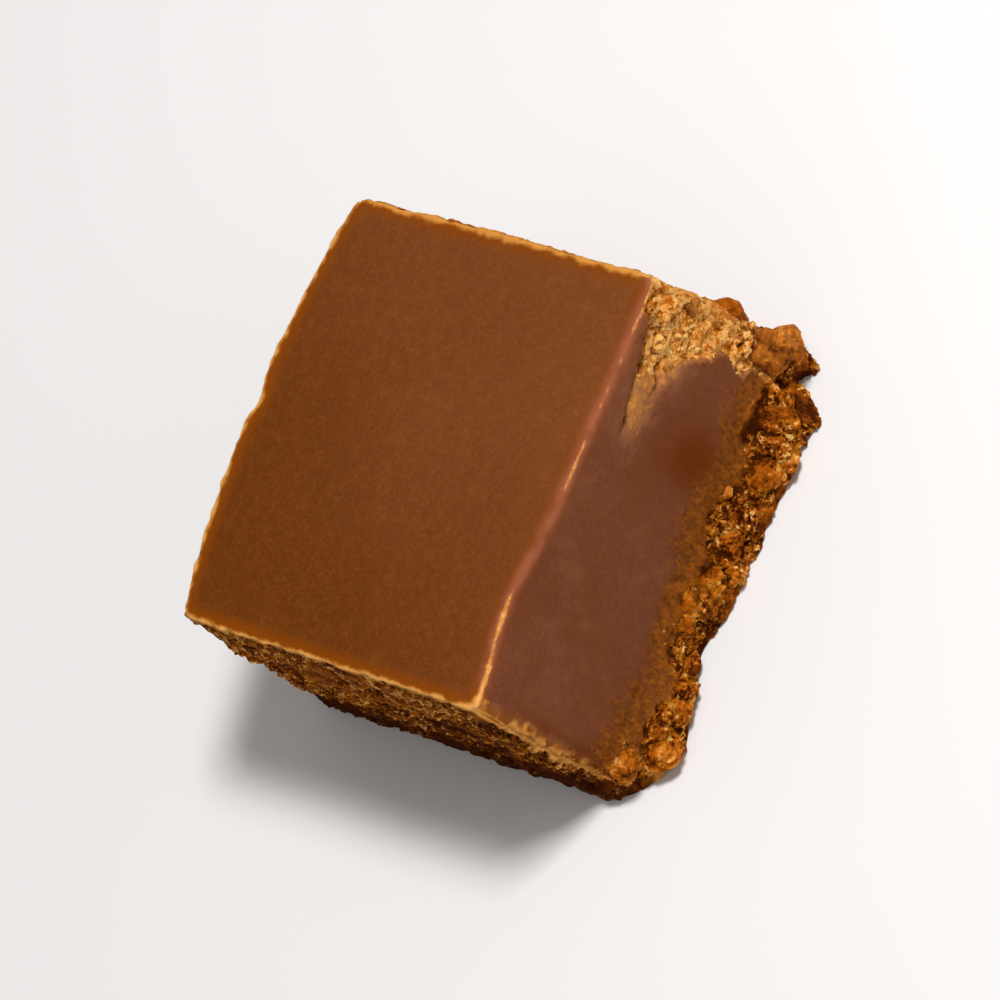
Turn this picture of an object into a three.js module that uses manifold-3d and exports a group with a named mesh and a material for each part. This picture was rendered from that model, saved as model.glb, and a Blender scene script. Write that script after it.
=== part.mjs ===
// A hand-cut piece of chocolate fudge, lying on its flat base.
// Millimetres, +Z up, +X along the longer side. The front, -Y, is a knife cut. The origin is on the base,
// under the middle of the whole piece.
//
// The top is the smooth skin of the poured slab. The four cut sides lean outwards on the way down and end in
// a crumbly foot, where the knife dragged the fudge. The fudge has torn open at the upper right of the
// front, and lumps hang on there and round the foot.
import * as THREE from "three";
import { mergeVertices } from "three/addons/utils/BufferGeometryUtils.js";
import Module from "manifold-3d";

// The block as cut: its top is LENGTH by DEPTH, and the poured slab was HEIGHT thick.
const LENGTH = 34;
const DEPTH = 28;
const HEIGHT = 20;
const BLOCK = new THREE.Vector3(LENGTH, DEPTH, HEIGHT);

// Where the middle of the whole piece lies, seen from the middle of the block's top.
const MIDDLE_X = 1.2;
const MIDDLE_Y = -0.2;

// Edges, and the corners of the plan, which are sharp at the top and worn round at the base.
const EDGE_RADIUS = 0.45;
const CORNER_AT_TOP = 0.8;
const FRONT_CORNER_AT_BASE = 4;
const BACK_CORNER_AT_BASE = 2;

// How far each side leans out from the top to the base, and how far its foot stands out past that.
const FRONT_LEAN = 1.6;
const BACK_LEAN = 0.7;
const RIGHT_LEAN = 1.4;
const LEFT_LEAN = 0.3;
const FRONT_FOOT = 1.9;
const SIDE_FOOT = 0.8;
const FOOT_HEIGHT = 4.2;

// The back edge of the top bows out in two shallow arcs, with a nick where they meet.
const BACK_BOW = 2.1;
const BACK_NICK = 0.5;
const BACK_NICK_X = 0.3;

// The top: slow waves in the skin, and the roll towards the front edge that the knife pressed in.
const SKIN_WAVE = 0.08;
const FRONT_ROLL = 0.35;
const FRONT_ROLL_WIDTH = 4.5;

// The torn wedge of the front: its lower border falls from left to right, then drops to the foot.
const TEAR_LEFT_X = 7.2;
const TEAR_LEFT_Z = 16.3;
const TEAR_SLOPE = 0.48;
const TEAR_DROP_X = 15.2;
const TEAR_DEPTH = 0.6;

// Relief of the crumbly parts.
const CRUMB_RELIEF = 0.55;
const CRUMB_PITCH = 2.1;
const SEED = 7;

// The block's grid, in steps along X, Y and Z. Its lines crowd together near the edges.
const STEPS = [28, 22, 16];
const EDGE_CROWDING = 0.62;

const wasm = await Module();
wasm.setup();

const { clamp, lerp, smoothstep } = THREE.MathUtils;
const hump = (x, middle, width) => Math.exp(-(((x - middle) / width) ** 2));

// A repeatable number from 0 to 1 for each whole-number point.
function hash(i, j, k) {
  let h = Math.imul(i, 374761393) ^ Math.imul(j, 668265263) ^ Math.imul(k + SEED, 1442695041);
  h = Math.imul(h ^ (h >>> 13), 1274126177);
  return ((h ^ (h >>> 16)) >>> 0) / 4294967296;
}

// Smooth noise from -1 to 1: the hash of the eight whole-number points around the place, blended.
function noise(x, y, z) {
  const cell = [Math.floor(x), Math.floor(y), Math.floor(z)];
  const ease = [x, y, z].map((value, axis) => smoothstep(value - cell[axis], 0, 1));
  let sum = 0;
  for (let corner = 0; corner < 8; corner++) {
    const offset = [corner & 1, (corner >> 1) & 1, corner >> 2];
    const weight = offset.reduce((w, o, axis) => w * (o ? ease[axis] : 1 - ease[axis]), 1);
    sum += weight * hash(...cell.map((c, axis) => c + offset[axis]));
  }
  return 2 * sum - 1;
}

// How far the front foot stands out at x: three thick places, a thin one, and a nick beside the right corner.
function frontFoot(x) {
  const thick = 0.9 * hump(x, -12, 2) + 0.4 * hump(x, 7, 4) + 0.8 * hump(x, 11.8, 1.1);
  const thin = 0.9 * hump(x, -5.5, 2) + 1.9 * hump(x, 14.3, 0.7);
  return FRONT_FOOT + thick - thin;
}

// How far the tear's lower border is above the base at x.
function tearBorder(x) {
  return x < TEAR_DROP_X ? TEAR_LEFT_Z - TEAR_SLOPE * (x - TEAR_LEFT_X) : FOOT_HEIGHT;
}

// How far each of the four sides is from the block's middle, at x and a share of the way down from the top.
function sides(x, down) {
  const foot = smoothstep(down, 1 - FOOT_HEIGHT / HEIGHT, 0.97);
  const dip = hump(x, -9, 4.5) * (1 - down) ** 2;
  const arch = (1 - clamp((2 * x) / LENGTH, -1, 1) ** 2) ** 0.7;
  const bow = BACK_BOW * arch - BACK_NICK * hump(x, BACK_NICK_X, 1.6);
  return {
    front: -DEPTH / 2 + dip - FRONT_LEAN * down - frontFoot(x) * foot,
    back: DEPTH / 2 + 0.2 + bow + BACK_LEAN * down + SIDE_FOOT * foot,
    right: LENGTH / 2 + 0.4 + RIGHT_LEAN * down ** 0.8 + SIDE_FOOT * foot,
    left: -LENGTH / 2 + 0.1 - LEFT_LEAN * down - 0.3 * SIDE_FOOT * foot,
  };
}

// Pulls a box's surface point in round its edges: what lies past the inner box by up to the radius keeps its
// direction, and its length becomes its largest side.
function roundEdges(p) {
  const inner = BLOCK.clone().divideScalar(2).subScalar(EDGE_RADIUS);
  const core = p.clone().clamp(inner.clone().negate(), inner);
  const past = p.clone().sub(core);
  const largest = Math.max(Math.abs(past.x), Math.abs(past.y), Math.abs(past.z));
  return past.length() > 0 ? core.addScaledVector(past, largest / past.length()) : core;
}

// The same in plan only, for the corners between the sides.
function roundCorners(p, down) {
  const atBase = p.y < 0 ? FRONT_CORNER_AT_BASE : BACK_CORNER_AT_BASE;
  const radius = lerp(CORNER_AT_TOP, atBase, down ** 2);
  const core = new THREE.Vector2(
    clamp(p.x, radius - LENGTH / 2, LENGTH / 2 - radius),
    clamp(p.y, radius - DEPTH / 2, DEPTH / 2 - radius),
  );
  const past = new THREE.Vector2(p.x, p.y).sub(core);
  const largest = Math.max(Math.abs(past.x), Math.abs(past.y));
  return past.length() > 0 ? core.addScaledVector(past, largest / past.length()) : core;
}

// A point of the plain box, whose middle is the origin, goes to its place on the cut block, on z = 0.
function cutPlace(boxPoint) {
  const p = roundEdges(boxPoint);
  const down = 0.5 - p.z / HEIGHT;
  const plan = roundCorners(p, down);
  const side = sides(plan.x, down);
  const x = lerp(side.left, side.right, plan.x / LENGTH + 0.5);
  const y = lerp(side.front, side.back, plan.y / DEPTH + 0.5);
  const skin = SKIN_WAVE * (Math.sin(0.31 * x + 1) + Math.sin(0.37 * y - 0.22 * x));
  const roll = FRONT_ROLL * (1 - smoothstep(y, -DEPTH / 2, -DEPTH / 2 + FRONT_ROLL_WIDTH)) ** 2;
  return new THREE.Vector3(x, y, p.z + HEIGHT / 2 + (1 - down) ** 3 * (skin - roll));
}

// How torn the front is at a place, from 0 to 1. wander makes the tear's border uneven.
function tornness(place, wander) {
  const above = smoothstep(place.z + wander, tearBorder(place.x) - 0.5, tearBorder(place.x) + 0.5);
  return above * smoothstep(place.x + wander, TEAR_LEFT_X, TEAR_LEFT_X + 2);
}

// How crumbly a face is at a place, from 0 to 1: the ends all over, the front and back at their foot, and the
// front where it is torn. face is the plain box's outward direction.
function crumbliness(place, face, wander) {
  if (face.z !== 0) return 0;
  if (face.x !== 0) return 1;
  const foot = 1 - smoothstep(place.z + wander, FOOT_HEIGHT - 0.8, FOOT_HEIGHT + 0.8);
  return face.y < 0 ? Math.max(foot, tornness(place, wander)) : foot;
}

// How much of the relief a point of one face takes: all of it in the middle, and none at the face's edges.
function clearOfEdges(share, face) {
  const across = ["x", "y", "z"].filter((axis) => face[axis] === 0);
  return 1 - Math.max(...across.map((axis) => Math.abs(2 * share[axis]))) ** 8;
}

// A line of the block's grid, as a share of the whole from -0.5 to 0.5, moves towards the nearer edge.
function crowd(share) {
  return Math.sin(share * EDGE_CROWDING * Math.PI) / Math.sin((EDGE_CROWDING * Math.PI) / 2) / 2;
}

// The cut block: a box's grid, moved point by point to its place, and roughened where it crumbles.
function cutBlock() {
  const grid = new THREE.BoxGeometry(1, 1, 1, ...STEPS);
  const position = grid.getAttribute("position");
  const normal = grid.getAttribute("normal");
  for (let i = 0; i < position.count; i++) {
    const share = new THREE.Vector3().fromBufferAttribute(position, i);
    const face = new THREE.Vector3().fromBufferAttribute(normal, i).round();
    const at = cutPlace(new THREE.Vector3(...share.toArray().map(crowd)).multiply(BLOCK));
    const wander = 0.7 * noise(at.x / 3, at.y / 3, at.z / 3);
    const relief = CRUMB_RELIEF * noise(at.x / CRUMB_PITCH, at.y / CRUMB_PITCH, at.z / CRUMB_PITCH);
    const sunk = face.y < 0 && at.z > FOOT_HEIGHT ? TEAR_DEPTH * tornness(at, wander) : 0;
    const out = crumbliness(at, face, wander) * relief - sunk;
    position.setXYZ(i, ...at.addScaledVector(face, out * clearOfEdges(share, face)).toArray());
  }
  return grid;
}

// A lump: a ball of 80 faces, stretched and dented by noise.
const LUMP_DENT = 0.34;

function lump(centre, radius, stretch) {
  const ball = mergeVertices(bare(new THREE.IcosahedronGeometry(1, 1)));
  const position = ball.getAttribute("position");
  const middle = new THREE.Vector3(...centre);
  for (let i = 0; i < position.count; i++) {
    const p = new THREE.Vector3().fromBufferAttribute(position, i);
    const dent = 1 + LUMP_DENT * noise(...p.clone().multiplyScalar(1.6).add(middle).toArray());
    p.multiplyScalar(radius * dent).multiply(new THREE.Vector3(...stretch)).add(middle);
    position.setXYZ(i, ...p.toArray());
  }
  return solid(ball);
}

// A geometry with nothing but its positions.
function bare(geometry) {
  const made = geometry.clone();
  made.deleteAttribute("normal");
  made.deleteAttribute("uv");
  return made;
}

// A closed geometry as a manifold-3d solid, and a solid as a geometry.
function solid(geometry) {
  const merged = mergeVertices(bare(geometry), 1e-4);
  const vertProperties = new Float32Array(merged.getAttribute("position").array);
  const triVerts = new Uint32Array(merged.index.array);
  return new wasm.Manifold(new wasm.Mesh({ numProp: 3, vertProperties, triVerts }));
}

function geometryOf(made) {
  const mesh = made.getMesh();
  const geometry = new THREE.BufferGeometry();
  geometry.setAttribute("position", new THREE.BufferAttribute(mesh.vertProperties, 3));
  geometry.setIndex(new THREE.BufferAttribute(mesh.triVerts, 1));
  geometry.computeVertexNormals();
  return geometry;
}

// The large lumps that the cut tore loose and left hanging: centre, radius and stretch.
const HANGING_LUMPS = [
  [[17.7, -15, 3.7], 2.1, [1, 0.9, 1.2]],
  [[18.2, -11.2, 6.6], 1.9, [0.8, 1, 1.2]],
  [[17.7, -12.8, 9.6], 1.4, [0.8, 1, 1.4]],
  [[17.2, -13.2, 13.8], 1.2, [0.8, 1, 1.4]],
  [[12.3, -16.7, 2.4], 1.7, [1.1, 1, 0.9]],
  [[8.7, -16.8, 2], 1.5, [1.3, 1, 0.9]],
  [[-12.2, -16.7, 2.1], 1.8, [1.3, 0.9, 0.9]],
  [[-15, -15.2, 2.3], 1.5, [1, 1, 1.2]],
  [[-1, -16.3, 1.9], 1.5, [1.3, 0.9, 1]],
];

// Lumps along the foot of each side, one every pitch, of uneven size and height, each buried by a share of
// its radius.
const FOOT_PITCH = 2.3;
const FOOT_LUMP = 1.15;
const FOOT_RUNS = [
  { side: "front", out: -1, from: -13.5, to: 15.5, buried: 0.45 },
  { side: "back", out: 1, from: -14.5, to: 15, buried: 0.45 },
  { side: "right", out: 1, from: -9, to: 13, buried: 0.5 },
  { side: "left", out: -1, from: -11, to: 12.5, buried: 0.75 },
];

function footLumps() {
  return FOOT_RUNS.flatMap(({ side, out, from, to, buried }, run) => {
    const count = Math.floor((to - from) / FOOT_PITCH) + 1;
    return Array.from({ length: count }, (_, i) => {
      const along = from + (i + 0.5 * hash(i, run, 4)) * FOOT_PITCH;
      const radius = FOOT_LUMP * (0.75 + 0.6 * hash(i, run, 1));
      const z = 0.8 + 2.4 * hash(i, run, 2);
      const isLong = side === "front" || side === "back";
      const across = sides(isLong ? along : 0, 1 - z / HEIGHT)[side] - out * buried * radius;
      const stretch = [1.15, 0.85 + 0.4 * hash(i, run, 3), 0.9];
      return [isLong ? [along, across, z] : [across, along, z], radius, stretch];
    });
  });
}

// Lumps in the torn wedge, and on the two broken ends.
const TEAR_LUMPS = 8;
const END_LUMPS = 9;

function tearLumps() {
  return Array.from({ length: TEAR_LUMPS }, (_, i) => {
    const x = TEAR_LEFT_X + 2.8 + (7 * (i + hash(i, 11, 1))) / TEAR_LUMPS;
    const z = lerp(tearBorder(x) + 0.6, HEIGHT - 1.6, hash(i, 11, 2));
    const y = sides(x, 1 - z / HEIGHT).front + 0.75;
    return [[x, y, z], 0.8 + 0.5 * hash(i, 11, 3), [1.3, 1, 0.9]];
  });
}

function endLumps(side, out) {
  return Array.from({ length: END_LUMPS }, (_, i) => {
    const y = ((i + hash(i, 12 + out, 1)) / END_LUMPS - 0.5) * (DEPTH - 5);
    const z = 5 + 11.5 * hash(i, 12 + out, 2);
    const radius = 0.9 + 0.6 * hash(i, 12 + out, 3);
    const x = sides(0, 1 - z / HEIGHT)[side] - out * 0.65 * radius;
    return [[x, y, z], radius, [1, 1.3, 0.9]];
  });
}

// The whole piece: the block and its lumps fused, and the base trimmed flat.
function fudge() {
  const onEnds = [...endLumps("left", -1), ...endLumps("right", 1)];
  const lumps = [...HANGING_LUMPS, ...footLumps(), ...tearLumps(), ...onEnds];
  const fused = lumps.reduce((made, one) => made.add(lump(...one)), solid(cutBlock()));
  const below = new THREE.BoxGeometry(3 * LENGTH, 3 * DEPTH, HEIGHT).translate(0, 0, -HEIGHT / 2);
  return geometryOf(fused.subtract(solid(below))).translate(-MIDDLE_X, -MIDDLE_Y, 0);
}

const chocolate = new THREE.MeshStandardMaterial({ color: 0x74401b, roughness: 0.55, metalness: 0 });
const piece = new THREE.Mesh(fudge(), chocolate);
piece.name = "fudge";

const part = new THREE.Group();
part.add(piece);

export default part;
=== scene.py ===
"""A hand-cut piece of chocolate fudge, with its smooth skin, its torn corner and the crumbs on its cuts.

The file is laid out as an add-on and is run as a script: main() calls the operators in order.
Shapes are worked out in millimetres and turned into metres as they are put into a mesh.
"""

import bpy
import numpy as np
from bpy.props import FloatProperty, FloatVectorProperty, IntProperty, PointerProperty
from mathutils import Matrix, Vector


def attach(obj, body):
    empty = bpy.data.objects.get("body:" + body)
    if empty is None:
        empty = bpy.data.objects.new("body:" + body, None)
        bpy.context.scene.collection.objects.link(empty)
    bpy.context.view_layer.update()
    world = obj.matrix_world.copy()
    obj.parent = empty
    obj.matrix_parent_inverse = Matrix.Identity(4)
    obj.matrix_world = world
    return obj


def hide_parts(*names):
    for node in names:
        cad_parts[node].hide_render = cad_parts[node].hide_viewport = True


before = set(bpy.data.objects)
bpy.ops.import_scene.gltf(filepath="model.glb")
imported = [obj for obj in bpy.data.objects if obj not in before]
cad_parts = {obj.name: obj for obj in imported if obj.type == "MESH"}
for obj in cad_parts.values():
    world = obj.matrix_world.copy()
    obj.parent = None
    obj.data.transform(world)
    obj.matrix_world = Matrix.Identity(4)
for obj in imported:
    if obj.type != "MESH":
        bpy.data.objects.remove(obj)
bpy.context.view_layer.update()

bl_info = {
    "name": "Chocolate fudge",
    "version": (1, 0, 0),
    "blender": (4, 5, 0),
    "location": "3D View > Sidebar > Fudge",
    "description": "Builds a hand-cut piece of chocolate fudge round its solid, and the studio for it",
    "category": "Add Mesh",
}

NODE = "fudge"
BODY = "root"
METRES = 0.001

# Where the middle of the block's top is, seen from the frame's origin, in millimetres.
BLOCK_AT = np.array([-1.2, 0.2, 0.0])

# The tear in the front and the crack that bounds it above, in millimetres: where each line starts at the
# left, how fast the tear's lower border falls and the crack rises, and between which x the border drops.
TEAR_X, TEAR_Z = 7.2, 16.3
TEAR_FALL = 0.48
TEAR_DROP = (14.2, 15.8)
CRACK_X, CRACK_Z = 7.1, 16.6
CRACK_RISE = 0.16

# The middle and width of the oily patch on the front, and the front left corner of the top, in millimetres.
WARM_X, WARM_Z = 7.3, 8.6
WARM_WIDTH = 3.2
LEFT_CORNER = np.array([-16.6, -13.8, 19.2])

# In metres: where each light stands and how wide it is, what both are turned to, and half the floor's side.
SOFTBOX_AT, SOFTBOX_WIDTH = (0.143, -0.133, 0.409), 0.09
FILL_AT, FILL_WIDTH = (0.10, -0.50, 0.22), 0.40
LIT_SPOT = (0, 0, 0.01)
FLOOR_HALF = 3.0


# Settings


class FudgeBlockSettings(bpy.types.PropertyGroup):
    """The block as it was cut."""

    length: FloatProperty(name="Length", description="Long side of the top, mm", default=34.0, min=10)
    depth: FloatProperty(name="Depth", description="Short side of the top, mm", default=28.0, min=10)
    height: FloatProperty(
        name="Height", description="Thickness of the poured slab, mm", default=20.0, min=5
    )
    edge_radius: FloatProperty(name="Edge radius", description="Rounding of the rims, mm", default=0.42)
    front_lean: FloatProperty(
        name="Front lean", description="How far the front stands out at its base, mm", default=1.6
    )
    front_foot: FloatProperty(
        name="Front foot", description="How far the crumbly foot stands out past that, mm", default=1.9
    )
    foot_height: FloatProperty(name="Foot height", description="Top of the crumbly foot, mm", default=4.2)
    tear_depth: FloatProperty(name="Tear depth", description="How deep the torn corner is, mm", default=0.7)
    cells: FloatProperty(name="Cell", description="Spacing of the surface's grid, mm", default=0.22)


class FudgeCrumbSettings(bpy.types.PropertyGroup):
    """The loose texture of the cuts."""

    seed: IntProperty(name="Seed", description="Seed of every random draw", default=11)
    grain: FloatProperty(name="Grain", description="Size of the largest lumps in the crumb, mm", default=1.9)
    relief: FloatProperty(name="Relief", description="Height of the crumb's lumps, mm", default=0.7)
    coarse: IntProperty(name="Coarse crumbs", description="How many crumbs of up to 0.5 mm", default=300)
    fine: IntProperty(name="Fine crumbs", description="How many crumbs of about 0.2 mm", default=1500)


class FudgeColourSettings(bpy.types.PropertyGroup):
    """Colours, as linear light."""

    skin: FloatVectorProperty(
        name="Skin", description="The smooth top", subtype="COLOR", default=(0.124, 0.031, 0.0036)
    )
    # The top where the painted sheen lightens it, standing in for the softbox's gloss.
    sheen_lit_skin: FloatVectorProperty(
        name="Sheened skin",
        description="The paler part of the top",
        subtype="COLOR",
        default=(0.172, 0.050, 0.0125),
    )
    cut: FloatVectorProperty(
        name="Cut", description="The knife-smeared sides", subtype="COLOR", default=(0.150, 0.044, 0.0195)
    )
    warm: FloatVectorProperty(
        name="Warm", description="Oily patch on the cut", subtype="COLOR", default=(0.122, 0.024, 0.0012)
    )
    # Partly paler thin fudge, partly a painted highlight where the rounded edges catch the light.
    rim: FloatVectorProperty(
        name="Rim", description="Thin fudge along the edges", subtype="COLOR", default=(0.77, 0.385, 0.105)
    )
    # A painted glow, standing in for light through the thin fudge just inside the edges.
    glow: FloatVectorProperty(
        name="Glow",
        description="Fudge just inside the edges",
        subtype="COLOR",
        default=(0.225, 0.050, 0.0012),
    )
    crumb: FloatVectorProperty(
        name="Crumb", description="Crumbled fudge", subtype="COLOR", default=(0.19, 0.043, 0.0018)
    )
    amber: FloatVectorProperty(
        name="Amber",
        description="Translucent fudge in the cuts",
        subtype="COLOR",
        default=(0.42, 0.110, 0.0045),
    )
    smear: FloatVectorProperty(
        name="Smear",
        description="Crumb smeared by the knife",
        subtype="COLOR",
        default=(0.136, 0.0405, 0.0052),
    )
    tan: FloatVectorProperty(
        name="Tan", description="Torn fudge spread thin", subtype="COLOR", default=(0.270, 0.106, 0.042)
    )
    # Partly thin fudge, partly a painted glow along the rounded front rim.
    ridge: FloatVectorProperty(
        name="Ridge",
        description="Thin fudge along the front rim",
        subtype="COLOR",
        default=(0.33, 0.099, 0.048),
    )
    gold: FloatVectorProperty(
        name="Gold", description="Freshly torn fudge", subtype="COLOR", default=(0.58, 0.225, 0.033)
    )
    # Partly pale grains, partly painted glints where the grains catch the light.
    speck_and_glint: FloatVectorProperty(
        name="Speck", description="Grains that catch the light", subtype="COLOR", default=(0.84, 0.44, 0.13)
    )
    # Dark fudge, and the painted shade in the holes, the crack, the hollows and on the lower left end.
    dark_and_shade: FloatVectorProperty(
        name="Pit", description="Hollows between the crumbs", subtype="COLOR", default=(0.052, 0.0095, 0.0008)
    )


class FudgeStageSettings(bpy.types.PropertyGroup):
    """Camera, lights and floor."""

    azimuth: FloatProperty(name="Azimuth", description="Camera's azimuth, degrees", default=-11.9)
    elevation: FloatProperty(name="Elevation", description="Camera's height angle, degrees", default=51.3)
    roll: FloatProperty(name="Roll", description="Camera's turn about its view, degrees", default=-58.15)
    distance: FloatProperty(
        name="Distance", description="Camera to aim point", default=0.5013, unit="LENGTH"
    )
    lens: FloatProperty(name="Lens", description="Focal length, mm", default=243.4)
    aim: FloatVectorProperty(
        name="Aim", description="Where the camera looks", subtype="XYZ", default=(-0.00114, -0.00099, 0.010)
    )
    key: FloatProperty(name="Key", description="Power of the overhead softbox, W", default=1.77)
    fill: FloatProperty(name="Fill", description="Power of the front fill, W", default=0.35)
    ambient: FloatProperty(name="Ambient", description="Brightness of the white surroundings", default=0.33)


# Arithmetic on whole arrays


def ease(value, low, high):
    """0 below low, 1 above high, and 3t^2 - 2t^3 between, t being the share of the way."""
    t = np.clip((value - low) / (high - low), 0, 1)
    return t * t * (3 - 2 * t)


def hump(value, middle, width):
    """A bell: e to the minus square of the distance from the middle in widths."""
    return np.exp(-(((value - middle) / width) ** 2))


def lerp(low, high, share):
    """The weighted mean of low and high."""
    return low + (high - low) * share


def draw(cells, channel):
    """A repeatable number from 0 to 1 for each whole-number cell: its indices and the channel, each times a
    large odd number, are combined by exclusive or and mixed by shifts."""
    i, j, k = (cells[..., axis].astype(np.int64).astype(np.uint32) for axis in range(3))
    mixed = i * np.uint32(374761393) ^ j * np.uint32(668265263) ^ k * np.uint32(1442695041)
    mixed ^= np.uint32((channel * 2246822519 + 97) % 2**32)
    mixed = (mixed ^ mixed >> np.uint32(15)) * np.uint32(2246822519)
    mixed = (mixed ^ mixed >> np.uint32(13)) * np.uint32(3266489917)
    return (mixed ^ mixed >> np.uint32(16)) / 2.0**32


def hashed(i, j, k, seed=7):
    """The solid's own draw: a repeatable number from 0 to 1 for three whole numbers."""
    i, j, k = np.uint32(i), np.uint32(j), np.uint32(k + seed)
    mixed = i * np.uint32(374761393) ^ j * np.uint32(668265263) ^ k * np.uint32(1442695041)
    mixed = (mixed ^ mixed >> np.uint32(13)) * np.uint32(1274126177)
    return (mixed ^ mixed >> np.uint32(16)) / 2.0**32


def noise(points, size, channel=0):
    """Smooth noise from -1 to 1 with features of about the size: the draws of the eight cell corners round
    each point, blended by eased shares."""
    scaled = points / size
    cell = np.floor(scaled)
    share = ease(scaled - cell, 0, 1)
    total = np.zeros(points.shape[:-1])
    for corner in np.ndindex(2, 2, 2):
        offset = np.array(corner)
        weight = np.prod(np.where(offset, share, 1 - share), axis=-1)
        total += weight * draw(cell + offset, channel)
    return 2 * total - 1


def rough(points, size, channel=0, octaves=3):
    """Noise plus half as much at half the size, and so on."""
    return sum(noise(points, size / 2**k, channel + k) / 2**k for k in range(octaves))


def near_cells(points, size):
    """Yields the 27 cells of a cubic grid round each point, with the points in cells."""
    scaled = points / size
    cell = np.floor(scaled)
    for offset in np.ndindex(3, 3, 3):
        yield cell + np.array(offset) - 1, scaled


def jitter(cells, channel):
    """A place anywhere in each cell."""
    return cells + np.stack([draw(cells, channel + axis) for axis in range(3)], axis=-1)


def lumps(points, normals, size, channel):
    """How far out along its normal each point meets the outermost of many balls, in sizes. Each cell of a
    cubic grid holds one ball, with its centre anywhere in it and a radius of 0.35 to 0.8 of the size."""
    highest = np.full(len(points), -0.6)
    for cells, scaled in near_cells(points, size):
        radius = 0.35 + 0.45 * draw(cells, channel + 3)
        to_centre = jitter(cells, channel) - scaled
        along = np.sum(to_centre * normals, axis=-1)
        aside = np.maximum(np.sum(to_centre**2, axis=-1) - along**2, 0)
        inside = (aside < radius**2) & (along < 0.35)
        reach = along + np.sqrt(np.maximum(radius**2 - aside, 0))
        highest = np.where(inside, np.maximum(highest, reach), highest)
    return highest


def pits(points, size, share, channel):
    """How deep each point lies in a scattered hole, from 0 to 1. That share of the cells holds a ball of 0.25
    to 0.6 of the size. The depth is the root of 1 less the squared distance from its centre in radii."""
    deepest = np.zeros(len(points))
    for cells, scaled in near_cells(points, size):
        radius = 0.25 + 0.35 * draw(cells, channel + 3)
        away = np.sum((jitter(cells, channel) - scaled) ** 2, axis=-1) / radius**2
        depth = np.sqrt(np.clip(1 - away, 0, 1)) * (draw(cells, channel + 4) < share)
        deepest = np.maximum(deepest, depth)
    return deepest


def warped(points, size, reach, channel):
    """The points pushed about by slow noise, so that what is worked out from them isn't regular."""
    return points + reach * np.stack([noise(points, size, channel + axis) for axis in range(3)], axis=-1)


# Surfaces


def box_grid(counts):
    """The skin of a box of counts cells along each axis: its whole-number points, each once, and its quads
    with their fronts outwards."""
    points, quads, start = [], [], 0
    for axis in range(3):
        across = [(axis + 1) % 3, (axis + 2) % 3]
        u, v = np.meshgrid(*(np.arange(counts[a] + 1) for a in across), indexing="ij")
        for at_end in (0, 1):
            face = np.zeros((*u.shape, 3), dtype=np.int64)
            face[..., across[0]], face[..., across[1]] = u, v
            face[..., axis] = counts[axis] * at_end
            index = start + np.arange(u.size).reshape(u.shape)
            ring = [index[:-1, :-1], index[1:, :-1], index[1:, 1:], index[:-1, 1:]]
            quads.append(np.stack(ring if at_end else ring[::-1], axis=-1).reshape(-1, 4))
            points.append(face.reshape(-1, 3))
            start += u.size
    points, quads = np.concatenate(points), np.concatenate(quads)
    unique, inverse = np.unique(points, axis=0, return_inverse=True)
    return unique, inverse.reshape(-1)[quads]


def normals_of(points, quads):
    """Each point's normal: the sum of the crossed diagonals of the quads round it, made one long."""
    crossed = np.cross(points[quads[:, 2]] - points[quads[:, 0]], points[quads[:, 3]] - points[quads[:, 1]])
    total = np.zeros_like(points)
    for axis in range(3):
        weights = np.repeat(crossed[:, axis], 4)
        total[:, axis] = np.bincount(quads.reshape(-1), weights=weights, minlength=len(points))
    return total / np.linalg.norm(total, axis=1, keepdims=True)


def pull_round(points, half, radius):
    """Rounds a box's edges: what lies past the inner box, smaller by the radius, keeps its direction, and its
    length becomes its largest side."""
    core = np.clip(points, radius - half, half - radius)
    past = points - core
    length = np.linalg.norm(past, axis=-1, keepdims=True)
    largest = np.abs(past).max(axis=-1, keepdims=True)
    return core + past * largest / np.where(length > 0, length, 1)


def crowded(share, crowding=0.45):
    """Moves an even share from -0.5 to 0.5 towards the nearer end, as a sine does."""
    return np.sin(share * crowding * np.pi) / np.sin(crowding * np.pi / 2) / 2


# The block


def front_foot(x, block):
    """How far the front's foot stands out at x: thick and thin places, and a nick beside the right corner."""
    thick = 0.9 * hump(x, -12, 2) + 0.4 * hump(x, 7, 4) + 0.8 * hump(x, 11.8, 1.1)
    thin = 0.9 * hump(x, -5.5, 2) + 1.9 * hump(x, 14.3, 0.7)
    return block.front_foot + thick - thin


def block_sides(x, down, block):
    """How far the front, back, left and right sides are from the middle, at x and a share of the way down."""
    foot = ease(down, 1 - block.foot_height / block.height, 0.97)
    dip = hump(x, -9, 4.5) * (1 - down) ** 2
    across = np.clip(2 * x / block.length, -1, 1)
    bow = 2.1 * (1 - across**2) ** 0.7 - 0.5 * hump(x, 0.3, 1.6)
    front = -block.depth / 2 + dip - block.front_lean * down - front_foot(x, block) * foot
    back = block.depth / 2 + 0.2 + bow + 0.7 * down + 0.8 * foot
    left = -block.length / 2 + 0.1 - 0.3 * down - 0.24 * foot
    right = block.length / 2 + 0.4 + 1.4 * down**0.8 + 0.8 * foot
    return front, back, left, right


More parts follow.
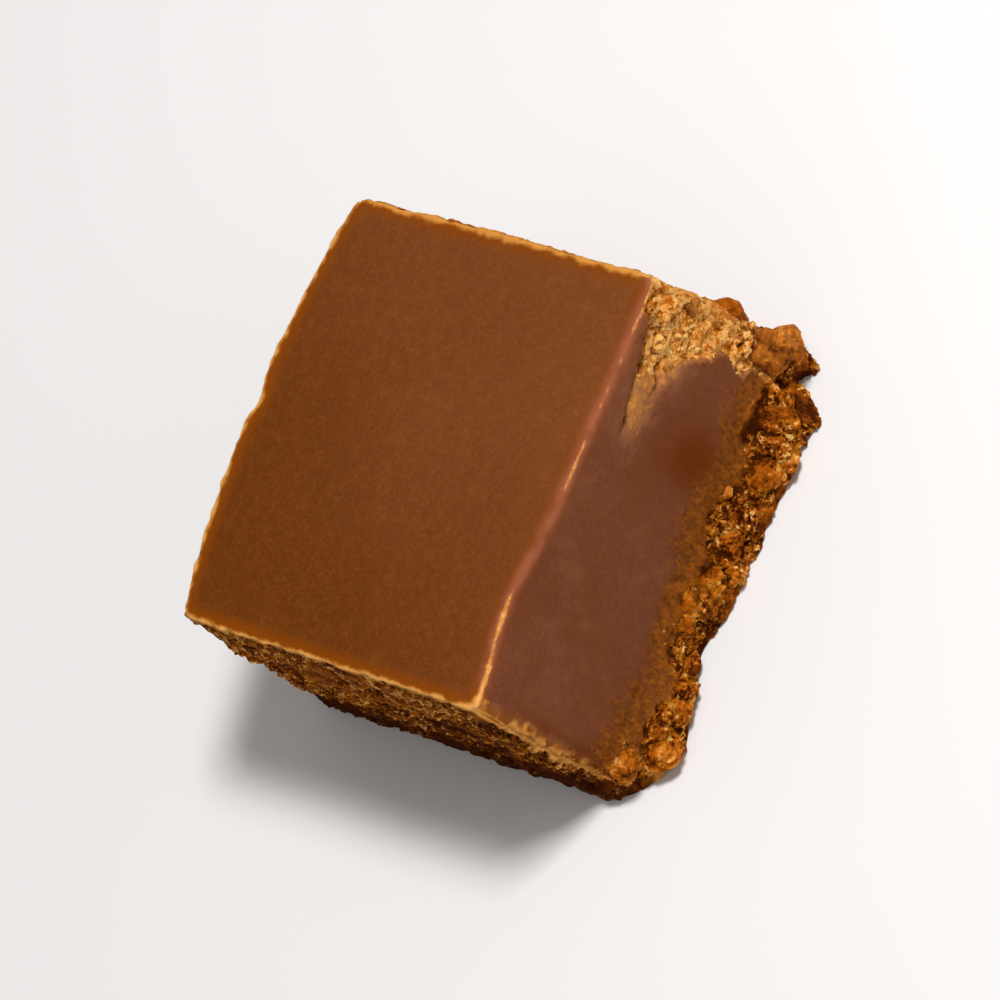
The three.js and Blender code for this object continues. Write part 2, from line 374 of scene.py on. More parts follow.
def block_places(points, block):
    """Takes the plain box's surface points to the cut block: edges rounded, plan corners rounded more and
    more towards the base, and the width and depth stretched between the sides. The top has slow waves and
    rolls off at the front."""
    half = np.array([block.length, block.depth, block.height]) / 2
    rounded = pull_round(points, half, block.edge_radius)
    down = 0.5 - rounded[:, 2] / block.height
    at_base = np.where(rounded[:, 1] < 0, 4.0, 2.0)
    radius = lerp(0.8, at_base, down**2)[:, None]
    plan = pull_round(rounded[:, :2], half[:2], radius)
    front, back, left, right = block_sides(plan[:, 0], down, block)
    x = lerp(left, right, plan[:, 0] / block.length + 0.5)
    y = lerp(front, back, plan[:, 1] / block.depth + 0.5)
    skin = 0.08 * (np.sin(0.31 * x + 1) + np.sin(0.37 * y - 0.22 * x))
    roll = 0.35 * (1 - ease(y, -half[1], 4.5 - half[1])) ** 2
    z = rounded[:, 2] + half[2] + (1 - down) ** 3 * (skin - roll)
    return np.stack([x, y, z], axis=1)


def foot_border(x, block):
    """Height of the crumbly foot's top at x: lower on the left, and lowest near its middle."""
    return block.foot_height - 0.7 * ease(-x, 0, 8) - 1.6 * hump(x, -9, 3.5) - 0.6 * hump(x, 1, 3)


def tear_border(x, block):
    """Height of the tear's lower border at x: it falls to the right, then drops to the foot."""
    return lerp(TEAR_Z - TEAR_FALL * (x - TEAR_X), block.foot_height, ease(x, *TEAR_DROP))


def crack_height(x):
    """Height at x of the crack that bounds the tear above."""
    return CRACK_Z + CRACK_RISE * (x - CRACK_X)


def cracks(places, normals):
    """How deep each place lies in the crack, or in a short one below it, from 0 to 1. Noise bends both."""
    x, z = places[:, 0], places[:, 2]
    line = np.abs(z - crack_height(x) + 0.3 * noise(places, 1.2, 50))
    crack = (1 - ease(line, 0.1, 0.45)) * ease(x, 5.5, 7) * (1 - ease(x, 14, 15.5))
    crack = crack * lerp(0.35, 1, ease(noise(places, 0.9, 53), -0.4, 0.1))
    second = np.abs(z - crack_height(x) + 2.3 + 0.16 * (x - 11) + 0.4 * noise(places, 1.2, 51))
    crack = np.maximum(crack, 0.8 * (1 - ease(second, 0.05, 0.35)) * hump(x, 11.4, 1.6))
    return crack * ease(-normals[:, 1], 0.35, 0.75)


def block_masks(places, normals, block):
    """Where each finish lies, from 0 to 1. Crumb is crumbled fudge, torn is freshly torn and golden is its
    colour. Smear and drag are what a knife drew up from the foot and along from the tear. Warm is an oily
    patch, and lip is the broken line where the foot starts."""
    wander = 0.9 * rough(places, 3.0, 40) + 0.35 * rough(places, 0.9, 44)
    x, y, z = places.T
    is_front = ease(-normals[:, 1], 0.35, 0.75)
    is_back = ease(normals[:, 1], 0.35, 0.75)
    is_end = ease(np.abs(normals[:, 0]), 0.45, 0.8)
    upright = 1 - ease(np.abs(normals[:, 2]), 0.75, 0.95)
    above_foot = z + wander - foot_border(x, block)
    foot = 1 - ease(above_foot, -1.3, 0.7)
    border = tear_border(x + 1.1 * rough(places, 1.8, 47), block)
    over_crack = ease(z - crack_height(x), -0.1, 0.2) * (1 - ease(x + wander, 13.5, 15))
    below_crack = (1 - over_crack) * is_front
    torn = ease(z + 0.9 * wander, border - 0.9, border + 0.9) * ease(x + 1.2 * wander, 9.0, 12.0)
    torn = torn * below_crack * ease(-y, 9, 12)
    fringe = 0.6 * (1 - ease(x + 16.5, 0.2, 1.5)) * ease(z, 4, 9)
    near_crack = (1 - ease(crack_height(x) - z + 0.6 * wander, 0.4, 4.0)) * ease(x, 3.0, 8.5)
    drag = np.maximum(ease(z + wander, border - 3.4, border + 0.8) * ease(x + wander, 5, 11), near_crack)
    above_crack = 0.3 * over_crack * is_front * ease(x, 3, 9)
    drag = np.maximum.reduce([drag * below_crack, above_crack, fringe * is_front])
    left_strip = 1 - ease(x + 0.25 * wander, -16.6, -16.3)
    corners = foot * ease(np.hypot(normals[:, 0], normals[:, 1]), 0.3, 0.6)
    front = is_front * np.maximum.reduce([foot, torn, left_strip])
    crumb = upright * np.maximum.reduce([front, is_back * foot, is_end, corners])
    reach = 2.2 + 2.8 * hump(x, 2.6, 3.2) + 2.0 * hump(x, -12, 4) + 1.4 * hump(x, 12.6, 1.8)
    smear = is_front * (1 - ease(above_foot / reach, -0.2, 1.4))
    away = np.hypot(x - WARM_X, 0.85 * (z - WARM_Z)) + 0.9 * rough(places, 3.5, 49)
    warm = hump(away, 0, WARM_WIDTH)
    warm = is_front * np.maximum(warm, 0.8 * hump(x + 0.4 * wander, -15.7, 1.1) * (1 - ease(z, 11, 17)))
    lip = is_front * hump(above_foot, 0.2, 0.3) * ease(rough(places, 1.4, 52), -0.2, 0.5)
    round_corner = ease(normals[:, 0], 0.3, 0.6) * ease(1.5 * wander - y, 9.5, 13) * ease(z + wander, 5, 9)
    near_corner = 0.6 * foot * is_front * ease(0.8 * wander - x, 12, 14.5)
    golden = np.maximum.reduce([torn, is_front * left_strip * ease(z, 2, 7), 0.8 * round_corner, near_corner])
    masks = {"crumb": crumb, "torn": torn, "smear": smear, "drag": drag, "warm": warm, "lip": lip}
    return {**masks, "golden": golden}


def torn_front(places, block):
    """How freshly torn each place is, from 0 to 1, as if it faced the front."""
    return block_masks(places, np.tile([0.0, -1.0, 0.0], (len(places), 1)), block)["torn"]


def rims(places, normals):
    """The pale line along each rim, partly paler thin fudge and partly a painted highlight where the rounded
    edge catches the light: its width, in millimetres, how much painted glow the skin has beside it, how much
    of the soft band the front rim has, and where the line is golden. It's ragged down the front left edge,
    and fades down the others."""
    x, y, z = places.T
    top = ease(z, 15, 18)
    left, right = ease(-x, 14, 16), ease(x, 14, 16)
    ridge = ease(-y, 11, 13) * top * (1 - left) * (1 - ease(y, -13.5, -12.5) * right)
    back = ease(y, 12, 14) * (1 - left)
    beads = noise(places, 1.3, 54)
    broken = ease(noise(places, 1.0, 57), -0.5, 0.1)
    low_end = ease(-x, 6.5, 9.5) * lerp(0.45, 1, broken) * (1 + 0.7 * rough(places, 0.9, 56))
    dots = ease(noise(places, 0.6, 55), -0.1, 0.4) * ease(x, -1, 2)
    ridge_width = 0.1 + 0.17 * low_end + 0.13 * dots
    width = lerp(0.42 + 0.12 * beads, 0.5 + 0.05 * beads, back)
    width = lerp(width, ridge_width, ridge)
    width = lerp(width, 0.2 + (0.35 + 0.2 * beads) * top, right * (1 - ridge))
    upright = left * ease(-y, 11, 13) * (1 - ease(z, 18.5, 19.3))
    ragged = noise(places * np.array([0.45, 0.45, 1]), 0.9, 58) + 0.7 * noise(places, 0.4, 59)
    teeth = ease(ragged, -0.6, 0.7) * ease(z, 2, 7)
    width = lerp(width, 0.28 + 1.15 * teeth * ease(-normals[:, 1], 0.2, 0.6), upright)
    low = (1 - ease(z, 4, 12)) * (1 - left * ease(-y, 11, 13))
    width = width + 0.35 * hump(np.linalg.norm(places - LEFT_CORNER, axis=1), 0, 0.9)
    width = width * ease(z, 0.3, 1.3) * (1 - 0.85 * low)
    # Painted glow: light through the thin fudge is painted just inside the rims and beside the front left
    # edge.
    glow = 0.35 + 0.6 * np.maximum.reduce([left, back, 0.8 * right])
    glow = glow * top * np.maximum(ease(normals[:, 2], -0.2, 0.5), 0.8 * ridge)
    glow = np.maximum(glow, 0.9 * upright * ease(-normals[:, 1], 0.4, 0.8))
    gilt = np.maximum(right * (1 - ridge), 0.7 * upright)
    return {"width": width, "glow": glow, "ridge": ridge * lerp(0.5, 1, broken), "gilt": gilt}


def crumb_relief(places, normals, crumbs, smoothness, pitted=1.0):
    """Height of crumbled fudge, in millimetres, and how deep in a hole each place is: low lumps of two sizes,
    grains, and ragged holes, as many as pitted says. All are softer where the smoothness is 1."""
    moved = warped(warped(places, 1.3, 0.5, 60), 0.5, 0.16, 66)
    big = lumps(moved, normals, crumbs.grain, crumbs.seed)
    middle = lumps(moved, normals, crumbs.grain / 2.3, crumbs.seed + 10)
    grains = lumps(places, normals, 0.55, crumbs.seed + 20)
    ragged = ease(noise(places, 0.6, 68), -0.5, 0.2)
    holes = np.maximum(pits(moved, 1.6, 0.3 * pitted, 70), 0.8 * pits(moved, 0.8, 0.35 * pitted, 76)) * ragged
    holes = holes * (1 - 0.75 * smoothness)
    height = crumbs.relief * (0.45 * big + lerp(0.4, 0.22, smoothness) * middle)
    return height + lerp(0.14, 0.04, smoothness) * grains - 0.6 * holes, holes


def torn_relief(places, normals):
    """Height of freshly torn fudge, in millimetres: shallow tongues that run along the tear, and grains."""
    drawn_out = warped(places * np.array([0.42, 1, 1]), 0.9, 0.3, 160)
    tongues = lumps(drawn_out, normals, 1.0, 166)
    grains = lumps(warped(places, 0.5, 0.25, 163), normals, 0.42, 172)
    return 0.24 * tongues + 0.2 * rough(drawn_out, 0.8, 176) + 0.05 * grains + 0.14


# The deepest hollows in the front, each with its width, in millimetres. They are dented in and darkened with
# painted shade.
HOLLOWS = (
    ((14.8, -16.8, 3.3), 1.0),
    ((15.0, -16.8, 1.3), 1.0),
    ((-15.6, -16.2, 1.6), 0.9),
    ((-13.6, -17.2, 1.4), 0.7),
    ((3.6, -17.2, 2.0), 0.7),
    ((7.2, -17.2, 0.9), 0.6),
)


def hollows(places):
    """How deep each place lies in one of the deep hollows, from 0 to 1."""
    moved = warped(places, 0.8, 0.4, 56)
    away = [np.linalg.norm(moved - middle, axis=1) for middle, _ in HOLLOWS]
    return np.maximum.reduce([hump(distance, 0, width) for distance, (_, width) in zip(away, HOLLOWS)])


def fudge_block(block, crumbs):
    """The block's points, quads and attributes. The crumbly parts rise and sink along the normals, a crack
    bounds the tear, burrs stand on the rims, and the base stays flat on the floor."""
    size = np.array([block.length, block.depth, block.height])
    counts = np.round(size / block.cells).astype(int)
    grid, quads = box_grid(counts)
    box = crowded(grid / counts - 0.5) * size
    places = block_places(box, block)
    normals = normals_of(places, quads)
    masks = block_masks(places, normals, block)
    x, z = places[:, 0], places[:, 2]
    edge = np.sort(size / 2 - np.abs(box), axis=1)[:, 1]
    amber = ease(noise(places, 2.4, 88) + 0.5 * noise(places, 0.9, 89), -0.25, 0.35) * (1 - masks["torn"])
    is_end = ease(np.abs(normals[:, 0]), 0.45, 0.8)
    height, holes = crumb_relief(places, normals, crumbs, amber, lerp(0.45, 1, is_end))
    # Painted light under the ends' top rims: fewer painted holes and a higher rise keep the band there pale.
    near_top = 1 - ease(block.height - z, 0.5, 3)
    holes = holes * (1 - 0.25 * masks["torn"]) * (1 - near_top * is_end)
    height = lerp(height, torn_relief(places, normals) - 0.6 * holes, masks["torn"])
    ledges = ease(noise(warped(places, 2, 0.5, 92) * np.array([1, 0.25, 1]), 1.3, 95), -0.1, 0.3)
    height += is_end * (0.4 * ledges - 0.1) * ease(z, 3, 8)
    on_end = 0.65 * lerp(0.3, 1, ease(block.height - z, 0.5, 5))
    off_rim = np.maximum(ease(edge, 0, 0.9), 1 - ease(z, 1, 3)) * lerp(1, on_end, is_end)
    crack = cracks(places, normals)
    lines = rims(places, normals)
    dent = hollows(places)
    out = masks["crumb"] * (height - 0.12) * lerp(0.3, 1, off_rim) + 0.22 * masks["lip"] - 0.9 * dent
    out -= (block.tear_depth * masks["torn"] + 0.7 * crack) * off_rim
    out += 0.07 * rough(places, 0.7, 80) * (1 - ease(edge, 0, 0.5))
    out += 0.2 * lines["width"] * hump(edge, 0.05, 0.2) * ease(noise(places, 0.8, 84), -0.6, 0.5)
    out += 0.012 * noise(places, 0.7, 90) * (1 - masks["crumb"])
    moved = places + normals * np.where(normals[:, 2] < -0.7, 0, out)[:, None]
    moved[:, 2] = np.maximum(moved[:, 2], 0)
    moved[normals[:, 2] < -0.9, 2] = 0
    # Painted sheen: the top grows paler towards the right and the front, as gloss from the softbox would make
    # it, with slow noise.
    painted_sheen = ease(0.03 * x - 0.025 * places[:, 1] + 0.25 * rough(places, 12, 86), -0.8, 0.8)
    attributes = {**masks, **lines, "edge": edge, "painted_sheen": painted_sheen, "amber": amber}
    left_end = ease(-normals[:, 0], 0.5, 0.8)
    # Painted shade: the lower part of the left end is darkened towards the floor, through the hole attribute
    # and a lower rise.
    shade = 0.8 * (1 - ease(z + rough(places, 1.5, 98), 1.0, 7.5)) * left_end
    # Painted shade: the hole attribute lays the dark colour in the holes, the crack, the hollows and on the
    # lower left end.
    attributes["hole"] = np.maximum.reduce([holes * masks["crumb"], 0.9 * crack, 0.9 * dent, shade])
    attributes["skin"] = ease(normals[:, 2], 0.5, 0.8)
    # Painted highlight and shade: rise pales high crumb and darkens low crumb, is raised under the ends' top
    # rims and lowered on the lower left end.
    attributes["rise"] = height + 0.35 * near_top * is_end - 0.25 * left_end * (1 - ease(z, 4, 12))
    on_end = 0.35 * ease(block.height - 2 - z, 0, 4) * np.where(normals[:, 0] < 0, ease(z, 5, 9), 1)
    granular = (1 - 0.8 * amber) * (1 - 0.6 * masks["torn"])
    inside = np.maximum(ease(edge, 0.8, 2.4), ease(edge, 0.2, 1.5) * (1 - ease(z, 1, 3)))
    attributes["loose"] = masks["crumb"] ** 2 * inside * lerp(1, on_end, is_end) * granular
    return moved, quads, attributes


# Lumps and crumbs


def ball_grid(cells):
    """A ball of radius 1: a cube's grid, each point pushed out to the sphere."""
    grid, quads = box_grid((cells, cells, cells))
    cube = np.tan((grid / cells - 0.5) * np.pi / 2)
    return cube / np.linalg.norm(cube, axis=1, keepdims=True), quads


# The large lumps that the cut tore loose and left hanging: centre, radius, stretch and smoothness.
HANGING_LUMPS = (
    ((17.7, -15.0, 3.7), 2.1, (1.0, 0.9, 1.2), 0.9),
    ((18.2, -11.2, 6.6), 1.9, (0.8, 1.0, 1.2), 1.0),
    ((17.7, -12.8, 9.6), 1.4, (0.8, 1.0, 1.4), 0.9),
    ((17.2, -13.2, 13.8), 1.2, (0.8, 1.0, 1.4), 0.7),
    ((11.7, -16.8, 2.3), 1.5, (1.1, 1.0, 0.9), 0.0),
    ((8.7, -16.8, 2.0), 1.5, (1.3, 1.0, 0.9), 0.8),
    ((-11.3, -16.7, 2.0), 1.5, (1.4, 0.85, 0.85), 0.45),
    ((-15.0, -15.2, 2.3), 1.5, (1.0, 1.0, 1.2), 0.6),
    ((-1.0, -16.3, 1.9), 1.5, (1.3, 0.9, 1.0), 0.9),
)

# Lumps stand along the foot of each side, one every pitch: the side, the way out, from, to and the share that
# is buried.
FOOT_PITCH = 2.3
FOOT_LUMP = 1.15
FOOT_RUNS = (
    ("front", -1, -13.5, 15.5, 0.45),
    ("back", 1, -14.5, 15.0, 0.45),
    ("right", 1, -9.0, 13.0, 0.5),
)
SIDES = ("front", "back", "left", "right")
TEAR_LUMPS = 4
END_LUMPS = 9


def side_at(side, x, z, block):
    """How far that side is from the middle, at x and a height."""
    return float(block_sides(np.array(x), np.array(1 - z / block.height), block)[SIDES.index(side)])


def foot_lumps(block):
    """Lumps along the foot of each side, of uneven size and height."""
    for run, (side, out, start, end, buried) in enumerate(FOOT_RUNS):
        for i in range(int((end - start) / FOOT_PITCH) + 1):
            along = start + (i + 0.5 * hashed(i, run, 4)) * FOOT_PITCH
            radius = FOOT_LUMP * (0.75 + 0.6 * hashed(i, run, 1))
            lengthwise = side in ("front", "back")
            z = 0.8 + 2.4 * hashed(i, run, 2)
            z = z * float(foot_border(along if lengthwise else 0.0, block)) / block.foot_height
            across = side_at(side, along if lengthwise else 0.0, z, block) - out * buried * radius
            place = (along, across, z) if lengthwise else (across, along, z)
            stretch = (1.15, 0.85 + 0.4 * hashed(i, run, 3), 0.9)
            yield place, radius, stretch, 0.7 * hashed(i, run, 5)


def tear_lumps(block):
    """Lumps in the torn corner."""
    for i in range(TEAR_LUMPS):
        x = 13.6 + 3.4 * (i + hashed(i, 11, 1)) / TEAR_LUMPS
        z = lerp(float(tear_border(x, block)) + 0.6, block.height - 1.6, hashed(i, 11, 2))
        yield (x, side_at("front", x, z, block) + 0.8, z), 0.7 + 0.4 * hashed(i, 11, 3), (1.4, 1.0, 0.9), 0.0


def end_lumps(block, side, out):
    """Lumps on a broken end."""
    for i in range(END_LUMPS):
        y = ((i + hashed(i, 12 + out, 1)) / END_LUMPS - 0.5) * (block.depth - 5)
        z = (9 if out < 0 else 5) + 8 * hashed(i, 12 + out, 2)
        radius = 0.9 + 0.6 * hashed(i, 12 + out, 3)
        place = (side_at(side, 0.0, z, block) - out * 0.7 * radius, y, z)
        yield place, radius, (1.0, 1.5, 0.8), 0.6 * hashed(i, 12 + out, 4)


def lump_surfaces(lumps_to_make, cells, crumbs):
    """Each lump is a ball, stretched and dented by slow noise, with crumb relief along its normals."""
    ball, quads = ball_grid(cells)
    points, faces, made = [], [], []
    for number, (centre, radius, stretch, smoothness) in enumerate(lumps_to_make):
        middle = np.array(centre)
        dent = 1 + 0.3 * rough(ball * radius + middle, 1.5, 100)
        places = middle + ball * np.array(stretch) * (radius * dent)[:, None]
        normals = normals_of(places, quads)
        height, hole = crumb_relief(places, normals, crumbs, smoothness)
        # Painted highlight and shade: the lumps' tone follows their height, with slow noise.
        rise = 1.2 * height + 0.25 * noise(places, 1.1, 104) + 0.05
        places = places + normals * (lerp(0.6, 0.4, smoothness) * (height - 0.25))[:, None]
        places[:, 2] = np.maximum(places[:, 2], 0)
        points.append(places)
        faces.append(quads + number * len(ball))
        made.append((hole, np.full(len(ball), smoothness), rise))
    columns = (np.concatenate(column) for column in zip(*made))
    return np.concatenate(points), np.concatenate(faces), dict(zip(("hole", "amber", "rise"), columns))


def scattered(points, quads, weight, count, seed):
    """Picks count places on the quads at random, each as likely as its area times its corners' mean weight,
    and returns them with their normals and the generator."""
    chance = np.random.default_rng(seed)
    corners = points[quads]
    crossed = np.cross(corners[:, 2] - corners[:, 0], corners[:, 3] - corners[:, 1])
    area = np.linalg.norm(crossed, axis=1)
    likely = area * weight[quads].mean(axis=1)
    chosen = chance.choice(len(quads), size=count, p=likely / likely.sum())
    u, v = chance.random((2, count, 1))
    picked = corners[chosen]
    along = lerp(picked[:, 0], picked[:, 1], u)
    places = lerp(along, lerp(picked[:, 3], picked[:, 2], u), v)
    return places, crossed[chosen] / area[chosen, None], chance


def crumb_balls(places, normals, radii, chance, cells):
    """A dented ball at each place, sunk by up to half of its radius and stretched at random."""
    ball, quads = ball_grid(cells)
    count = len(places)
    stretch = 0.65 + 0.7 * chance.random((count, 1, 3))
    lift = radii * (chance.random(count) * 0.6 - 0.45)
    centres = places + normals * lift[:, None]
    dent = 1 + 0.9 * noise(ball[None] * 1.1 + centres[:, None] * 7, 0.9, 150)
    spots = centres[:, None] + ball[None] * stretch * radii[:, None, None] * dent[..., None]
    spots[..., 2] = np.maximum(spots[..., 2], 0)
    faces = (quads[None] + len(ball) * np.arange(count)[:, None, None]).reshape(-1, 4)
    amber = np.repeat(chance.random(count), len(ball))
    rise = np.repeat(0.6 * chance.random(count), len(ball))
    return spots.reshape(-1, 3), faces, {"amber": amber, "hole": np.zeros(amber.shape), "rise": rise}


# Materials


class Shader:
    """A material's node tree, with short ways to add and link nodes."""

    def __init__(self, name):
        self.material = bpy.data.materials.new(name)
        self.material.use_nodes = True
        self.tree = self.material.node_tree
        self.surface = self.tree.nodes["Principled BSDF"]
        self.place = self.node("TexCoord").outputs["Object"]

    def node(self, kind, **settings):
        made = self.tree.nodes.new("ShaderNode" + kind)
        for name, value in settings.items():
            setattr(made, name, value)
        return made

    def link(self, source, target):
        self.tree.links.new(source, target)

    def put(self, target, value):
        """Links an output to the socket, or sets the socket to a number or colour."""
        if isinstance(value, bpy.types.NodeSocket):
            self.link(value, target)
        elif hasattr(value, "__len__") and len(value) == 3:
            target.default_value = (*value, 1) if len(target.default_value) == 4 else value
        else:
            target.default_value = value

    def attribute(self, name):
        return self.node("Attribute", attribute_name=name).outputs["Fac"]

    def scaled(self, size, stretch):
        """The object's places, in sizes, fewer along an axis where stretch is more."""
        mapping = self.node("Mapping")
        self.link(self.place, mapping.inputs["Vector"])
        mapping.inputs["Scale"].default_value = [1 / (size * s) for s in stretch]
        return mapping.outputs["Vector"]

    def noise(self, size, detail=3.0, roughness=0.55, stretch=(1, 1, 1)):
        """Blender's noise with features of about the size, in metres, longer where stretch is more."""
        made = self.node("TexNoise")
        self.link(self.scaled(size, stretch), made.inputs["Vector"])
        made.inputs["Scale"].default_value = 1
        made.inputs["Detail"].default_value = detail
        made.inputs["Roughness"].default_value = roughness
        return made.outputs["Fac"]

    def maths(self, operation, *values):
        made = self.node("Math", operation=operation)
        for socket, value in zip(made.inputs, values):
            self.put(socket, value)
        return made.outputs[0]

    def span(self, value, low, high, to_low=0.0, to_high=1.0):
        """Takes low to high smoothly to to_low to to_high, and holds them outside."""
        made = self.node("MapRange", interpolation_type="SMOOTHSTEP")
        names = ("Value", "From Min", "From Max", "To Min", "To Max")
        for name, part in zip(names, (value, low, high, to_low, to_high)):
            self.put(made.inputs[name], part)
        return made.outputs["Result"]

    def sway(self, value, reach):
        """Takes a noise to minus the reach to the reach."""
        return self.span(value, 0.3, 0.7, -reach, reach)

    def ramp(self, value, *stops):
        """Takes a number to a colour, blended between stops, each a place and a colour."""
        made = self.node("ValToRGB")
        elements = made.color_ramp.elements
        for _ in stops[2:]:
            elements.new(1)
        for element, (place, colour) in zip(elements, stops):
            element.position, element.color = place, (*colour, 1)
        self.put(made.inputs[0], value)
        return made.outputs[0]

    def grains(self, size, stretch=(1, 1, 1)):
        """Packed grains of about the size, in metres, longer where stretch is more: 1 at their middles, less
        between them, and a number drawn for each grain. Their places are pushed about by noise."""
        place = self.scaled(size, stretch)
        push = self.node("TexNoise")
        self.link(place, push.inputs["Vector"])
        push.inputs["Scale"].default_value = 0.6
        centred = self.node("VectorMath", operation="MULTIPLY_ADD")
        self.link(push.outputs["Color"], centred.inputs[0])
        centred.inputs[1].default_value = [1.3] * 3
        self.link(place, centred.inputs[2])
        cells = self.node("TexVoronoi")
        self.link(centred.outputs[0], cells.inputs["Vector"])
        cells.inputs["Scale"].default_value = 1
        cells.inputs["Detail"].default_value = 1
        drawn = self.node("SeparateColor")
        self.link(cells.outputs["Color"], drawn.inputs[0])
        return self.span(cells.outputs["Distance"], 0.1, 0.8, 1.0, 0.0), drawn.outputs[0]

    def mix(self, first, second, share):
        made = self.node("Mix", data_type="RGBA")
        self.put(made.inputs[0], share)
        self.put(made.inputs[6], first)
        self.put(made.inputs[7], second)
        return made.outputs[2]

    def cover(self, colour, *layers):
        """Lays each layer's colour over the ones before it, by the layer's share."""
        for over, share in layers:
            colour = self.mix(colour, over, share)
        return colour

    def bump(self, height, strength, distance):
        made = self.node("Bump")
        self.put(made.inputs["Strength"], strength)
        made.inputs["Distance"].default_value = distance
        self.link(height, made.inputs["Height"])
        return made.outputs["Normal"]

    def finish(self, colour, roughness, normal, specular, scatter):
        surface = self.surface
        self.put(surface.inputs["Base Color"], colour)
        self.put(surface.inputs["Roughness"], roughness)
        self.put(surface.inputs["Normal"], normal)
        surface.inputs["Specular IOR Level"].default_value = specular
        surface.inputs["Subsurface Weight"].default_value = scatter
        surface.inputs["Subsurface Radius"].default_value = (1.0, 0.55, 0.3)
        surface.inputs["Subsurface Scale"].default_value = 0.0007
        return self.material


def crumb_look(make, colours, golden, amber, hole, rise, lift):
    """Colour and normal of crumbled fudge: orange brown, with painted shade in holes and where it's low, and
    painted highlights on its highest grains. It's all lighter and yellower where golden is 1, and smooth and
    lighter by the lift where amber is 1."""
    packed, drawn = make.grains(0.0004)
    fine = make.noise(0.0003, 3, 0.6)
    broad = make.noise(0.0013, 3, 0.6)
    calm = make.span(make.maths("ADD", amber, make.sway(broad, 0.3)), 0.1, 0.8)
    grainy = make.maths("MULTIPLY_ADD", packed, 0.3, make.span(fine, 0.3, 0.7, -0.38, 0.12))
    height = make.maths("MULTIPLY_ADD", make.maths("POWER", drawn, 3), 0.36, grainy)
    sharp = make.span(calm, 0.0, 1.0, 1.0, 0.28)
    grainy = make.maths("MULTIPLY", height, sharp)
    grainy = make.maths("MULTIPLY", grainy, make.span(golden, 0.0, 1.0, 1.0, 0.8))
    tone = make.maths("ADD", grainy, make.span(rise, -0.5, 0.7, -0.17, 0.34))
    tone = make.maths("ADD", tone, make.span(broad, 0.35, 0.65, -0.06, 0.06))
    tone = make.maths("ADD", tone, make.span(calm, 0.0, 1.0, 0.0, lift))
    plain = make.ramp(
        tone,
        (0.0, colours.dark_and_shade),
        (0.17, colours.crumb),
        (0.5, colours.amber),
        (0.66, colours.gold),
        (0.9, colours.speck_and_glint),
    )
    fresh = make.ramp(
        tone,
        (0.0, colours.amber),
        (0.06, colours.gold),
        (0.5, colours.speck_and_glint),
    )
    # Painted shade in the holes and on the lower left end.
    colour = make.cover(plain, (fresh, golden), (colours.dark_and_shade, make.span(hole, 0.25, 0.85, 0.0, 0.85)))
    strength = make.maths("MULTIPLY", make.span(golden, 0.0, 1.0, 0.7, 0.4), sharp)
    normal = make.bump(height, strength, 0.00034)
    return colour, normal


def coverage(make, share, patchy, fine, full):
    """How much a smear of that share covers: 0.95 at full, with its edge made ragged by the two noises."""
    ragged = make.maths("ADD", patchy, fine)
    shown = make.maths("MULTIPLY_ADD", ragged, make.span(share, 0.0, 0.3), share)
    return make.span(shown, 0.0, full, 0.0, 0.95)


def streaks(make, colours, share):
    """Colour of crumb smeared up from the foot, and how much it covers."""
    stretch = (1, 1, 1.8)
    packed, drawn = make.grains(0.00036, stretch)
    fine = make.noise(0.00028, 4, 0.65, stretch)
    patchy = make.noise(0.0012, 4, 0.6)
    tone = make.maths("MULTIPLY_ADD", packed, 0.25, make.span(fine, 0.3, 0.7, -0.25, 0.4))
    tone = make.maths("MULTIPLY_ADD", make.maths("POWER", drawn, 2), 0.4, tone)
    tone = make.maths("MULTIPLY_ADD", share, 0.3, tone)
    light = lerp(np.array(colours.smear), np.array(colours.amber), 0.45)
    dark = lerp(np.array(colours.smear), np.array(colours.dark_and_shade), 0.3)
    colour = make.ramp(tone, (0.05, dark), (0.35, colours.smear), (1.0, light))
    return colour, coverage(make, share, make.sway(patchy, 0.2), make.sway(fine, 0.03), 0.65)


def dragged(make, colours, share):
    """Colour of torn fudge dragged along the crack, and how much it covers."""
    packed, drawn = make.grains(0.0004, (1.5, 1, 1))
    fine = make.noise(0.0003, 4, 0.65, (1.6, 1, 1))
    patchy = make.noise(0.0011, 4, 0.6, (2.2, 1, 1))
    tone = make.maths("MULTIPLY_ADD", packed, 0.16, make.span(fine, 0.3, 0.7, -0.08, 0.14))
    tone = make.maths("MULTIPLY_ADD", drawn, 0.12, tone)
    tone = make.maths("MULTIPLY_ADD", share, 0.4, tone)
    colour = make.ramp(tone, (0.38, colours.tan), (0.72, colours.gold), (1.0, colours.speck_and_glint))
    return colour, coverage(make, share, make.sway(patchy, 0.22), make.sway(fine, 0.08), 1.0)


